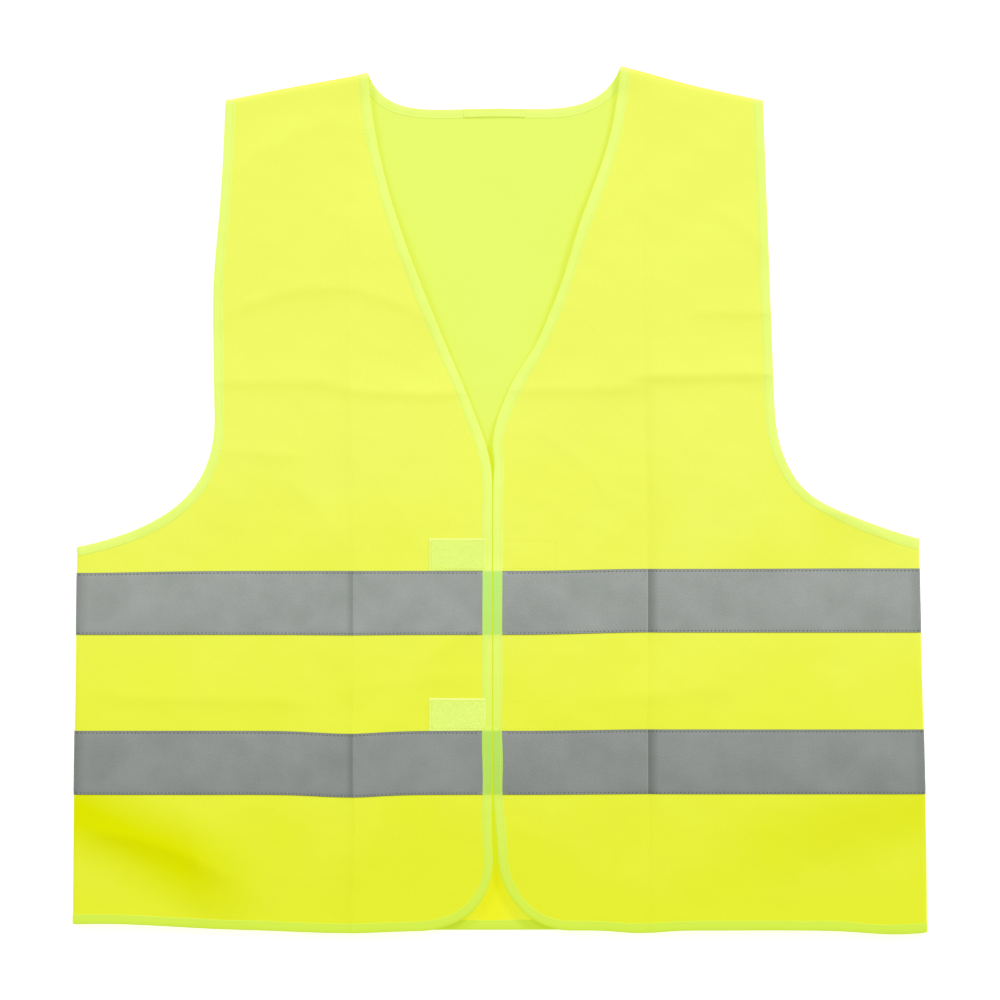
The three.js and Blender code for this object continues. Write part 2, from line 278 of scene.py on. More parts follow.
def curve(start, first, second, end, count=60):
    """Cubic curve: the four points mixed by (1-t)^3, 3t(1-t)^2, 3t^2(1-t) and t^3."""
    t = np.linspace(0, 1, count)[:, None]
    ends = np.asarray(start) * (1 - t) ** 3 + np.asarray(end) * t**3
    return ends + 3 * t * (1 - t) * (np.asarray(first) * (1 - t) + np.asarray(second) * t)


def run_along(path):
    """Length of the path from its start to each of its points."""
    return np.r_[0, np.cumsum(np.hypot(*np.diff(path, axis=0).T))]


def even(path, step):
    """The same line with points an equal step apart, measured along it."""
    run = run_along(path)
    at = np.linspace(0, run[-1], int(round(run[-1] / step)) + 1)
    return np.stack([np.interp(at, run, path[:, i]) for i in (0, 1)], 1)


drop = NECK[1] - MEET[1]
neckline = curve(NECK, (NECK[0] * 0.91, TOP - drop * 0.41),
                 (NECK[0] * 0.33, MEET[1] + drop * 0.32), MEET)
neck_x, neck_y = neckline[::-1].T
reach, scoop = UNDERARM[0] - CHEST[0], CHEST[1] - UNDERARM[1]
armhole = curve(UNDERARM, (CHEST[0] + reach * 0.45, UNDERARM[1] + scoop * 0.12),
                (CHEST[0] + reach * 0.02, UNDERARM[1] + scoop * 0.33), CHEST)
armhole = np.r_[armhole, [ARM]]
back_neck = curve(NECK, (NECK[0] * 0.85, TOP - BACK_NECK_DROP * 1.24),
                  (NECK[0] * 0.5, TOP - BACK_NECK_DROP), (0, TOP - BACK_NECK_DROP))
back_neck_x, back_neck_y = back_neck[::-1].T
angle = np.linspace(np.pi, 1.5 * np.pi, 40)
corner = np.array([MEET[0], HEM]) + CORNER
corner = corner + CORNER * np.c_[np.cos(angle), np.sin(angle)]
front_line = np.r_[neckline, corner, [(SIDE, HEM)]]
print("neckline", len(neckline), "armhole", len(armhole), "points")

# %% [markdown]
# ## How the vest lies
# Two things make laid cloth look real. It never lies quite square, so one smooth drift moves all
# layers together by a few millimetres. And it keeps the creases of its packet: straight ridges
# where it was folded, with slow waves in between. Both are functions of the place on the cloth, so
# the cloth, the tapes, the bindings and every stitch go through the same one and stay together.

# %% Drift of the laid cloth
def soft_step(low, high, value):
    """0 below low, 1 above high, and a smooth S between: 3t^2 - 2t^3."""
    t = np.clip((value - low) / (high - low), 0, 1)
    return t * t * (3 - 2 * t)


def bump(value, centre, width):
    """A bell: e to the minus ((value - centre) / width) squared."""
    return np.exp(-(((value - centre) / width) ** 2))


# Local pulls: amount in mm, then in metres the centre and width across the vest and along it.
PULLS_ACROSS = [(-4.0, 0.035, 0.05, 0.135, 0.05), (-4.0, -0.215, 0.06, 0.165, 0.06)]
LEFT_FRONT_PULLS = [(-4.5, 0.025, 0.020, 0.098, 0.022), (-8.0, 0.070, 0.035, 0.222, 0.060)]
PULLS_ALONG = [(3.6, 0.10, 0.04, TOP, 0.06), (-1.6, -0.10, 0.05, TOP, 0.06),
               (5.6, 0.290, 0.08, -0.020, 0.022), (-2.4, -0.118, 0.035, -0.20, 0.07),
               (-2.3, -SIDE, 0.07, UNDERARM[1], 0.035)]
# The same at the hem, where only the place across the vest counts.
HEM_PULLS = [(5.2, -0.310, 0.075), (-2.0, -0.121, 0.05), (-2.3, 0.112, 0.022), (-3.0, 0.307, 0.035)]


def pulls(x, y, table):
    """Sum of amounts, each times a bell across the vest and a bell along it."""
    return sum(amount * bump(x, x_at, x_width) * bump(y, y_at, y_width)
               for amount, x_at, x_width, y_at, y_width in table)


def drift(x, y, face):
    """Sideways and lengthwise shift in metres, as a sum of soft steps and bells.

    The last steps touch only the fronts: the left one is pulled towards the right one where the
    neckline ends, and both rounded corners swing towards the wearer's left.
    """
    chest = soft_step(-0.02, 0.10, y)
    low = soft_step(-0.02, 0.336, -y)
    right = np.sign(x) * soft_step(0.10, 0.33, np.abs(x))
    across = -4.5 * chest - 6.0 * bump(x, 0, 0.12) * (1 - chest)
    across += (1 - chest) * (-1.6 * (1 - low) * np.abs(right) - right * (3.1 - 5.1 * low))
    across += pulls(x, y, PULLS_ACROSS)
    along = pulls(x, y, PULLS_ALONG) + 1.8 * soft_step(0.02, 0.12, x) * bump(y, -0.10, 0.11)
    at_hem = sum(amount * bump(x, x_at, width) for amount, x_at, width in HEM_PULLS)
    along += soft_step(0.236, 0.336, -y) * at_hem
    meeting = -10.1 * bump(x, 0.012, 0.028) * bump(y, 0.066, 0.036) * soft_step(0.016, 0.045, y)
    left_corner = 4.5 * bump(x, 0, 0.06) * soft_step(0.215, 0.290, -y)
    across += (face > 0) * (x > 0) * (meeting + pulls(x, y, LEFT_FRONT_PULLS) + left_corner)
    right_corner = 4.0 * bump(x, -0.020, 0.030) * soft_step(0.255, 0.325, -y)
    across += (face > 0) * (x < 0) * right_corner
    return across * MM, along * MM


# %% Waves and creases
RIGHT_CREASE = -0.1125
LEFT_CREASE = 0.1180
LEFT_SIDE_CREASE = 0.228


def waves(x, y, seed, size, count=9):
    """Slow swell: a sum of plane waves with seeded directions, lengths and phases."""
    draw = np.random.default_rng(seed)
    heading = draw.uniform(0, 2 * np.pi, count)
    pace = 2 * np.pi / size * draw.uniform(0.55, 1.4, count)
    phase = draw.uniform(0, 2 * np.pi, count)
    along = x[..., None] * np.cos(heading) + y[..., None] * np.sin(heading)
    return np.sin(pace * along + phase).sum(-1) / np.sqrt(count)


def ridge(distance, height, low_reach, high_reach, round_off=0.0006):
    """Sharp ridge: height times e to the minus distance over reach, one reach for each side."""
    reach = np.where(distance < 0, low_reach, high_reach)
    return height * np.exp(-np.sqrt(distance**2 + round_off**2) / reach)


def fold(x, y, start, end, height, below, above, bow=0.0, ease=0.2):
    """A ridge along a straight or bowed line between two places, fading out at both ends."""
    start, end = np.array(start) * MM, np.array(end) * MM
    run = end - start
    length = np.hypot(*run)
    along = ((x - start[0]) * run[0] + (y - start[1]) * run[1]) / length**2
    off = ((y - start[1]) * run[0] - (x - start[0]) * run[1]) / length
    off = off - bow * MM * 4 * along * (1 - along)
    window = soft_step(-ease / 2, ease, along) * soft_step(-ease / 2, ease, 1 - along)
    return window * ridge(off, height, below * MM, above * MM)


PACKET_FOLDS = [
    # start, end, height, reach below or right of the line, reach above or left of it, bow; in mm
    ((-222, 92), (-118, 92), 1.1, 4, 16, 0), ((-128, 88), (-20, 84), 1.2, 4, 14, -3),
    ((20, 86), (116, 88), 1.1, 5, 14, 0), ((108, 96), (222, 98), 1.7, 3.5, 16, 0),
    ((-212, 140), (-50, 140), 1.0, 6, 16, 26), ((150, 146), (222, 146), 0.9, 3, 14, 0),
    ((-222, 40), (-150, 34), 0.7, 4, 10, 0), ((-330, -152), (-140, -158), 0.9, 6, 14, 0),
    ((-125, -150), (-20, -140), 0.7, 6, 12, 3), ((60, -160), (200, -148), 0.6, 6, 14, 2),
    ((-330, -258), (-205, -300), 2.9, 9, 22, 8), ((-245, -240), (-225, -330), 1.4, 7, 16, 0),
    ((-60, -130), (-10, -100), 0.7, 5, 9, 2), ((30, 60), (90, 0), 0.5, 6, 12, 4),
    ((250, -10), (330, -50), 0.7, 6, 12, 4), ((170, 230), (215, 190), 0.5, 8, 12, 4),
    ((-200, 260), (-120, 300), 0.5, 8, 12, 4), ((-170, 20), (-120, -40), 0.5, 6, 14, 4),
]


def front_relief(x, y):
    """Height in metres of the front cloth above its level.

    Waves of three sizes, the two long upright creases, the short folds of the packet, and a droop
    of the cloth along the neckline and between the rounded corners.
    """
    height = 0.60 * waves(x, y, 3, 0.17) + 0.26 * waves(x, y, 8, 0.055)
    height += 0.08 * waves(x, y, 12, 0.022)
    wander = 0.0008 * waves(x * 0, y, 5, 0.16)
    strength = 0.75 + 0.35 * waves(x * 0, y, 13, 0.25)
    right_part = 1 - 0.65 * soft_step(0.070, 0.120, y)
    left_part = 1 - 0.35 * soft_step(0.070, 0.100, y) - 0.50 * soft_step(0.200, 0.240, y)
    height += right_part * strength * ridge(x - RIGHT_CREASE + wander, 2.9, 0.0055, 0.030)
    height -= left_part * (1.4 - strength * 0.6) * ridge(x - LEFT_CREASE + wander, 2.9, 0.030, 0.005)
    side_crease = ridge(x - LEFT_SIDE_CREASE + wander, 1.0, 0.008, 0.014)
    height += 0.5 * side_crease * soft_step(0.15, 0.25, -y)
    for start, end, top, below, above, bow in PACKET_FOLDS:
        height += 1.3 * fold(x, y, start, end, top, below, above, bow)
    edge = np.abs(x) - np.interp(y, neck_y, neck_x, left=0.0, right=NECK[0])
    droop = np.where(x < 0, 2.6 - 3.6 * bump(y, 0.185, 0.05), 2.6 - 3.4 * bump(y, 0.235, 0.055))
    height -= droop * np.exp(-np.maximum(edge, 0) / 0.018) * soft_step(-0.02, 0.10, y)
    height -= 1.2 * np.exp(-np.abs(x) / 0.03) * soft_step(0.22, 0.30, -y)
    return height * MM


def back_relief(x, y):
    """Height of the back cloth above the floor level, never below it."""
    height = 0.6 + 0.40 * waves(x, y, 21, 0.16) + 0.12 * waves(x, y, 22, 0.05)
    height += ridge(y - 0.088, 0.5, 0.006, 0.012) + ridge(np.abs(x) - 0.060, 0.4, 0.006, 0.014)
    return np.maximum(height, 0) * MM


# %% From the flat pattern to the laid vest
SEAM_ANGLE = np.pi / 2 * 0.965  # just short of a right angle, so both cloths clear the seam
SOFT_FLOOR = 0.15 * MM


def place(x, y, h, face=1.0):
    """Carries flat pattern points, lifted h off the middle of the cloth, to the laid vest.

    Face 1 is the front and -1 the back. Close to a side or shoulder line the flat distance past
    the start of the turn becomes an angle, and the point moves on a circle round the middle
    height. Elsewhere it stays at its place, and waves and drift are added. Last, the height z
    becomes half of z plus the root of z squared plus a small number squared, which never goes
    below the floor and keeps the order of the layers.
    """
    x, y, h, face = np.broadcast_arrays(*(np.asarray(v, float) for v in (x, y, h, face)))
    half = np.where(x < 0, -1.0, 1.0)
    across = np.abs(x)
    inside = -((across - NECK[0]) * OUT_OF_SHOULDER[0] + (y - NECK[1]) * OUT_OF_SHOULDER[1])
    side = np.clip((across - SIDE + TURN) / TURN, 0, 1)
    top = np.clip((TURN - inside) / TURN, 0, 1)
    radius = TURN + h
    moved = np.where(side > 0, SIDE - TURN + radius * np.sin(side * SEAM_ANGLE), across)
    push = np.where(top > 0, radius * np.sin(top * SEAM_ANGLE) - (TURN - inside), 0)
    level = radius * np.cos(np.maximum(side, top) * SEAM_ANGLE)
    flat = soft_step(0.001, 0.030, SIDE - across) * soft_step(0.001, 0.025, inside)
    relief = np.where(face > 0, front_relief(x, y), back_relief(x, y)) * flat
    shift = drift(x, y, face)
    at_x = half * (moved + push * OUT_OF_SHOULDER[0]) + shift[0]
    at_y = y + push * OUT_OF_SHOULDER[1] + shift[1]
    z = MIDDLE_Z + face * level + relief
    return np.stack([at_x, at_y, (z + np.sqrt(z**2 + SOFT_FLOOR**2)) / 2], -1)


# %% Helpers for meshes
def make_piece(name, points, faces, material, flat=None):
    """A named object from points and faces, with the flat pattern place kept as its UV map."""
    mesh = bpy.data.meshes.new(name)
    mesh.from_pydata(points.reshape(-1, 3).tolist(), [], faces)
    if flat is not None:
        corner_of = np.empty(len(mesh.loops), np.int32)
        mesh.loops.foreach_get("vertex_index", corner_of)
        layer = mesh.uv_layers.new(name="pattern")
        layer.data.foreach_set("uv", flat.reshape(-1, 2)[corner_of].ravel().astype(np.float32))
    mesh.shade_smooth()
    mesh.materials.append(material)
    item = bpy.data.objects.new(name, mesh)
    scene.collection.objects.link(item)
    return item


def grid_faces(rows, columns, closed=False, turned=False):
    """Four-sided faces of a grid; closed joins the last column to the first."""
    index = np.arange(rows * columns).reshape(rows, columns)
    if closed:
        index = np.c_[index, index[:, :1]]
    faces = np.stack([index[:-1, :-1], index[:-1, 1:], index[1:, 1:], index[1:, :-1]], -1)
    faces = faces.reshape(-1, 4)
    return (faces[:, ::-1] if turned else faces).tolist()


def thicken(item, thickness):
    """Gives a surface a thickness, half of it to either side."""
    wall = item.modifiers.new("thickness", "SOLIDIFY")
    wall.thickness = thickness
    wall.offset = 0


def cloth_sheet(name, x, y, h, face, material, thickness, turned=False, flat=None):
    """A grid of cloth at a height above the middle surface, given a thickness both ways."""
    points = place(x, y, h, face)
    flat = np.stack([x, y], -1) if flat is None else flat
    item = make_piece(name, points, grid_faces(*x.shape, turned=turned), material, flat)
    thicken(item, thickness)
    print(name, x.shape, "grid")
    return item


def fasten(piece, body, finish, *nodes):
    """Attaches a piece to the body it moves with and hides the frame nodes it stands for.

    The finish is not used.
    """
    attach(piece, body)
    if nodes:
        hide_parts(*nodes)


# %% [markdown]
# ## Finishes
# Fluorescent knitted polyester sends back nearly all green and red light and almost no blue. It
# does glow a little, and a stronger painted glow is added on top, so its shadows stay yellow. Its
# colour is painted palest near the neck, where the lamp strikes it, and darker towards the hem,
# where less lamp light falls. The loops of the knit are under a millimetre, which a bump from two
# crossed wave patterns gives.

# %% Fluorescent cloth
# Painted glow: an emission that keeps the cloth's shade yellow and bright, standing in for light.
CLOTH_PAINTED_GLOW = (0.52, 0.56, 0.0, 1)
WALE = 0.00062
COURSE = 0.00070


def dot(tree, vector, direction):
    """How far a place lies along a direction on the pattern."""
    inputs = {0: vector, 1: (*direction, 0)}
    return add(tree, "VectorMath", inputs, operation="DOT_PRODUCT").outputs["Value"]


def paint_shade_band(tree, pattern, base, colour, band, strength):
    """Mixes in painted shade, a deeper colour, along a straight band of the pattern.

    The band is given as the direction across it, how far its middle lies from the origin, its half
    width, the direction along it, and where on that direction it starts and is full.
    """
    across, offset, reach, along, start, full = band
    away = maths(tree, "ABSOLUTE", maths(tree, "ADD", dot(tree, pattern, across), offset))
    near = rescale(tree, away, reach, 0.002, 0.0, strength, "SMOOTHSTEP")
    far = rescale(tree, dot(tree, pattern, along), start, full, curve="SMOOTHSTEP")
    return mix(tree, maths(tree, "MULTIPLY", near, far), base, (*colour, 1))


def cloth_finish(name, top, middle, low, shade_colour, painted_glow, bands):
    """Fluorescent knit with a painted glow, painted darker towards the hem and along the bands."""
    material, tree = new_material(name)
    pattern = on_pattern(tree)
    height = add(tree, "SeparateXYZ", {0: pattern}).outputs["Y"]
    sway = rescale(tree, noise(tree, pattern, 9.0, 5.0, 0.6), 0.3, 0.7, -0.09, 0.09)
    along = maths(tree, "ADD", rescale(tree, height, HEM, TOP), sway)
    # Painted light: lighter at the top and darker towards the hem, where less lamp light falls.
    colour = ramp(tree, along, [(0.06, low), (0.30, middle), (0.60, top)])
    for *band, strength in bands:
        colour = paint_shade_band(tree, pattern, colour, shade_colour, band, strength)
    stretch = add(tree, "Mapping", {"Vector": pattern, "Scale": (1, 0.25, 1)}).outputs[0]
    fleck = rescale(tree, noise(tree, stretch, 700.0, 2.0), 0.0, 1.0, 0.95, 1.05)
    knit = maths(tree, "MULTIPLY", ribs(tree, pattern, "X", WALE), ribs(tree, pattern, "Y", COURSE))
    shade(tree, Base_Color=scaled(tree, colour, fleck), Roughness=0.85,
          Specular_IOR_Level=0.03, Specular_Tint=(1.0, 1.0, 0.2, 1), Sheen_Weight=0.08,
          Sheen_Roughness=0.5, Sheen_Tint=(0.85, 1.0, 0.05, 1),
          Normal=bumped(tree, knit, 0.22, 0.00012), Emission_Color=painted_glow, Emission_Strength=1.0)
    return material


# Painted shade bands: the outside ones rise from hem to sides, the inside one is at mid hem.
RIGHT_LOW_SHADE = ((0.438, 0.899), 0.3630, 0.050, (-1, 0), 0.17, 0.25, 1.0)
LEFT_LOW_SHADE = ((-0.2885, 0.957), 0.3209, 0.045, (1, 0), 0.12, 0.28, 0.55)
MIDDLE_SHADE = ((1, 0), 0.0, 0.050, (0, -1), 0.240, 0.305, 1.0)
cloth = cloth_finish("fluorescent_knit", top=(0.238, 0.263, 0.089), middle=(0.224, 0.240, 0.0493),
                     low=(0.194, 0.217, 0.0245), shade_colour=(0.148, 0.156, 0.0), painted_glow=CLOTH_PAINTED_GLOW,
                     bands=[RIGHT_LOW_SHADE, LEFT_LOW_SHADE])
# The inside gets a low colour under a strong painted glow, so the shade between the layers stays
# yellow.
inside_cloth = cloth_finish("fluorescent_knit_inside", top=(0.110, 0.174, 0.103),
                            middle=(0.110, 0.174, 0.103), low=(0.110, 0.174, 0.094),
                            shade_colour=(0.170, 0.140, 0.016), painted_glow=(0.64, 0.70, 0.0, 1),
                            bands=[MIDDLE_SHADE])
print("cloth finishes ready")

# %% [markdown]
# ## Binding, tape and thread finishes
# The edge binding is a bought tape of the same colour family, but greener and paler, with a rib
# along it. Where it runs over a grey band it is painted greener still, because no yellow cloth
# shines through from below there. Its colour is painted darker towards the hem, where less lamp
# light falls, and a painted glow keeps its shade bright. The reflective tape is grey with a grain
# of tiny glass beads and darker along its cut edges. Beside its creases a painted shade and a
# painted highlight stand in for the light on the crease flanks, and the lower band is painted
# darker, where less lamp light falls.

# %% Binding
binding, tree = new_material("edge_binding_tape")
here = add(tree, "TexCoord").outputs["Object"]
height = add(tree, "SeparateXYZ", {0: here}).outputs["Y"]


def band_mask(level):
    """1 where the height on the vest lies within a reflective band, with soft ends."""
    low, high = LEVELS[level]
    centre, half = (low + high) / 2, (high - low) / 2
    away = maths(tree, "ABSOLUTE", maths(tree, "SUBTRACT", height, centre))
    return rescale(tree, away, half + MM, half - MM)


# Painted light: over a grey band the binding is greener, as no yellow cloth lights it from below.
over_tape = maths(tree, "ADD", band_mask("upper"), band_mask("lower"))
plain = ramp(tree, noise(tree, here, 60.0, 2.0),
             [(0.3, (0.262, 0.289, 0.128)), (0.7, (0.278, 0.303, 0.141))])
# Painted shade: both binding colours are darker towards the hem, where less lamp light falls.
up = rescale(tree, height, HEM, -0.05)
on_cloth = mix(tree, up, (0.170, 0.222, 0.050, 1), plain)
on_tape = mix(tree, up, (0.013, 0.086, 0.045, 1), (0.072, 0.214, 0.132, 1))
rib = ribs(tree, on_pattern(tree), "X", 0.0009, 0.4)
# The emission is a painted glow that keeps the binding's shade bright.
shade(tree, Base_Color=mix(tree, over_tape, on_cloth, on_tape), Roughness=0.75,
      Specular_IOR_Level=0.05, Specular_Tint=(1.0, 1.0, 0.3, 1), Sheen_Weight=0.05,
      Sheen_Tint=(0.85, 1.0, 0.3, 1), Normal=bumped(tree, rib, 0.3, 0.0001),
      Emission_Color=(0.42, 0.55, 0.0, 1), Emission_Strength=1.0)

# %% Reflective tape
BAND_HEIGHT = LEVELS["upper"][1] - LEVELS["upper"][0]
CUT_EDGE = (0.135, 0.150, 0.110, 1)
CREASE_SHADE = (0.09, 0.10, 0.085, 1)
CREASE_HIGHLIGHT = (0.36, 0.38, 0.36, 1)
# Painted shade and painted highlight beside the creases: darkest or palest place, place where the
# change has faded out, colour, strength.
TAPE_CREASE_SHADING = [(LEFT_CREASE, 0.1265, CREASE_SHADE, 0.62), (0.1182, 0.1170, CREASE_HIGHLIGHT, 0.5),
                (RIGHT_CREASE, -0.1185, CREASE_SHADE, 0.42), (0.3315, 0.3230, CREASE_SHADE, 0.35),
                (-0.3315, -0.3230, CREASE_SHADE, 0.35)]
tape, tree = new_material("reflective_tape")
pattern = on_pattern(tree)
split = add(tree, "SeparateXYZ", {0: pattern})
grain = maths(tree, "ADD", noise(tree, pattern, 1100.0, 2.0), noise(tree, pattern, 22.0, 5.0, 0.6))
grey = ramp(tree, maths(tree, "MULTIPLY", grain, 0.5),
            [(0.36, (0.201, 0.219, 0.203)), (0.64, (0.275, 0.291, 0.277))])
off_middle = maths(tree, "SUBTRACT", split.outputs["Y"], BAND_HEIGHT / 2)
at_edge = rescale(tree, maths(tree, "ABSOLUTE", off_middle), BAND_HEIGHT / 2 - 0.0008,
                  BAND_HEIGHT / 2 - 0.0001)
shading = mix(tree, at_edge, grey, CUT_EDGE)
for start, end, colour, strength in TAPE_CREASE_SHADING:
    side = "GREATER_THAN" if end > start else "LESS_THAN"
    fade = rescale(tree, split.outputs["X"], start, end, strength, 0.0)
    mask = maths(tree, "MULTIPLY", fade, maths(tree, side, split.outputs["X"], start))
    shading = mix(tree, mask, shading, colour)
# Painted shade: the tape is darker lower on the vest, where less lamp light falls.
level = add(tree, "SeparateXYZ", {0: add(tree, "TexCoord").outputs["Object"]}).outputs["Y"]
painted_falloff = rescale(tree, level, -0.25, -0.05, 0.71, 0.97)
beads = add(tree, "TexVoronoi", {"Vector": pattern, "Scale": 2600.0}).outputs["Distance"]
shade(tree, Base_Color=scaled(tree, shading, painted_falloff), Roughness=0.62, Metallic=0.05,
      Specular_IOR_Level=0.2, Normal=bumped(tree, beads, 0.25, 0.00006))

# %% Threads and closure tapes
# Painted glow for the yellow threads and the closure strips, which keeps their shade bright.
PILE_PAINTED_GLOW = (0.42, 0.53, 0, 1)


def fibre_finish(name, dark, light, scale, rough=0.7, painted_glow=(0, 0, 0, 1)):
    """Small fibrous parts: two tones mixed by a fine noise, also their bump, and a painted glow."""
    material, tree = new_material(name)
    fuzz = noise(tree, add(tree, "TexCoord").outputs["Object"], scale, 3.0)
    shade(tree, Base_Color=ramp(tree, fuzz, [(0.35, dark), (0.65, light)]), Roughness=rough,
          Specular_IOR_Level=0.2, Sheen_Weight=0.1, Normal=bumped(tree, fuzz, 0.4, 0.0001),
          Emission_Color=painted_glow, Emission_Strength=1.0)
    return material


tape_thread = fibre_finish("tape_thread", (0.055, 0.060, 0.045), (0.12, 0.125, 0.09), 2500)
yellow_thread = fibre_finish("binding_thread", (0.23, 0.27, 0.09), (0.27, 0.31, 0.12), 2500,
                             painted_glow=PILE_PAINTED_GLOW)
cloth_thread = fibre_finish("cloth_thread", (0.22, 0.25, 0.06), (0.25, 0.27, 0.09), 2500,
                            painted_glow=CLOTH_PAINTED_GLOW)
loop_pile = fibre_finish("loop_pile", (0.265, 0.31, 0.150), (0.315, 0.355, 0.205), 1500, 0.95,
                         PILE_PAINTED_GLOW)
hook_plastic = fibre_finish("hook_plastic", (0.24, 0.27, 0.08), (0.28, 0.31, 0.12), 800, 0.45,
                            (0.45, 0.52, 0, 1))
print("all finishes ready")

# %% [markdown]
# ## The back
# The back is one flat panel from side to side. Its grid runs from the hem to the top, each row
# spans from one side or armhole to the other, and the upper rows bend to the shape of the
# shoulders and the neck.

# %% Back cloth
EDGE_IN = 0.0015
CLOTH_THICKNESS = 0.00036
TURN_COLUMNS = np.array([0.0037, 0.0029, 0.0021, 0.0013, 0.0006, 0.0])
TURN_SHARE = 0.0125  # of a path, left for the close rows where the cloth turns
PATH_LENGTH = 0.33


def at_share(path, share):
    """Points of a path at shares of its way: 0 is the start, 1 the end."""
    at = share * (len(path) - 1)
    return np.stack([np.interp(at, np.arange(len(path)), path[:, i]) for i in (0, 1)], 1)


def climb_rows(path, count):
    """Even rows up a path to the shoulder, and close rows where the cloth turns over it."""
    share = np.r_[np.linspace(0, 1 - TURN_SHARE, count), 1 - TURN_COLUMNS[1:] / PATH_LENGTH]
    return at_share(even(path, FINE), share)


def upright(x, rows):
    """Points one above another: the same x at each height in rows."""
    return np.c_[np.full(len(rows), x), rows]


low_rows = np.linspace(HEM, UNDERARM[1], 78)[:-1]
edge = np.r_[upright(SIDE, low_rows), climb_rows(armhole, 104)]
share = np.linspace(-1, 1, 151)
core = (edge[:, :1] - TURN_COLUMNS[0]) * share
turn_right = edge[:, :1] - TURN_COLUMNS[1:]
x = np.c_[-turn_right[:, ::-1], core, turn_right]
y = np.repeat(edge[:, 1:], x.shape[1], 1)
line_y = NECK[1] + (np.abs(x) - NECK[0]) * SHOULDER[1] / SHOULDER[0]
neck_edge_y = np.interp(np.abs(x), back_neck_x, back_neck_y - EDGE_IN)
top_y = np.where(np.abs(x) < NECK[0], neck_edge_y, line_y)
lift = soft_step(0.10, ARM[1], y) ** 2
y = y + lift * (top_y - ARM[1])
back_cloth = cloth_sheet("back_cloth", x, y, 0, -1, inside_cloth, CLOTH_THICKNESS, turned=True)
fasten(back_cloth, "vest_body", "cloth", "back_panel")

# %% [markdown]
# ## The fronts
# Each front is ruled: a straight row runs from the front edge or neckline across to the side or
# armhole. The rows bunch together in the rounded lower corner, where the edge changes fastest. At
# the side and the shoulder the cloth turns down to meet the back. A front folds open about a line
# beside the neck, so every layer of it has close columns along that line.

# %% Front cloth
HINGE_PLACES = np.linspace(-0.009, 0.009, 21)
HINGE_GAP = 0.0004
COLUMNS = 104
CREASE_PLACES = np.r_[-9:10] * 0.0013


def fold_columns(places):
    """Column places with an even, close set where the front folds open, the same in every layer."""
    away = np.abs(places - FOLD) > HINGE_PLACES[-1] + HINGE_GAP
    return np.unique(np.r_[places[away], FOLD + HINGE_PLACES])


def inner_edge(rows_corner, rows_low, rows_mid, rows_neck):
    """Front edge of the left half from hem to shoulder: corner, straight edge, neckline."""
    angle = np.linspace(1.5 * np.pi, np.pi, rows_corner)[:-1]
    foot = np.array([MEET[0], HEM]) + CORNER
    foot = foot + (CORNER - EDGE_IN) * np.c_[np.cos(angle), np.sin(angle)]
    low = np.linspace(HEM + CORNER, UNDERARM[1], rows_low)[:-1]
    mid = np.linspace(UNDERARM[1], MEET[1], rows_mid)[:-1]
    neck = climb_rows(neckline[::-1] + (EDGE_IN, 0), rows_neck)
    return np.r_[foot, upright(MEET[0] + EDGE_IN, np.r_[low, mid]), neck], len(foot) + len(low)


inner, underarm_row = inner_edge(26, 76, 20, 98)
climb = (inner[underarm_row:, 1] - UNDERARM[1]) / (TOP - UNDERARM[1])
outer = np.r_[upright(SIDE, inner[:underarm_row, 1]), at_share(even(armhole, FINE), climb)]
length = np.hypot(*(outer - inner).T)[:, None]
at_x = np.r_[np.linspace(MEET[0], SIDE, COLUMNS)[:-1], CREASE_PLACES - RIGHT_CREASE,
             CREASE_PLACES + LEFT_CREASE]
at_x = fold_columns(np.unique(np.round(at_x, 4)))
from_outer = (SIDE - at_x) / (SIDE - MEET[0])
distance = np.c_[(length - TURN_COLUMNS[0]) * from_outer + TURN_COLUMNS[0], length * 0 + TURN_COLUMNS]
toward = (inner - outer) / length
front_x = outer[:, :1] + toward[:, :1] * distance
front_y = outer[:, 1:] + toward[:, 1:] * distance

HANDS = {"left": 1, "right": -1}


def hinge_to_flap(piece, hand, finish, *nodes):
    """Bakes a finished piece's place into its mesh and hides the frame nodes it stands for.

    The hand and the finish are not used.
    """
    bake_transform(piece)
    if nodes:
        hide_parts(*nodes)


for hand, side in HANDS.items():
    piece = cloth_sheet(f"{hand}_front_cloth", side * front_x, front_y, 0, 1, cloth,
                        CLOTH_THICKNESS, turned=side < 0)
    hinge_to_flap(piece, hand, "cloth", f"{hand}_front_panel", f"{hand}_flap_panel")

# %% [markdown]
# ## Reflective bands
# The bands are cut tape laid on the outside of the cloth and sewn along both edges. The tape is
# pulled down a little where the thread holds it and stands up between the rows, so the band's
# height above the cloth depends on how far across it a point is. The front bands run from under
# the front binding to the side, where they turn with the cloth.

# %% Bands
STITCH_PITCH = 0.0030
ROW_INSET = 0.0016
ROW_WIDTH = 0.0009
TAPE_THICKNESS = 0.00028
TAPE_LIFT = 0.00036
TAPE_CROWN = 0.00010
STITCH_DIP = 0.00012
PUCKER = 0.00003
BACK_TAPE_DROP = 0.00006
TAPE_COLUMN = 0.00133


def tape_height(along, across):
    """Height of the tape over the cloth: dips at both stitch rows, and puckers at each stitch."""
    rows = bump(across, ROW_INSET, ROW_WIDTH) + bump(across, BAND_HEIGHT - ROW_INSET, ROW_WIDTH)
    pucker = PUCKER * np.cos(2 * np.pi * along / STITCH_PITCH)
    return TAPE_LIFT + TAPE_CROWN + pucker - (STITCH_DIP + pucker) * rows


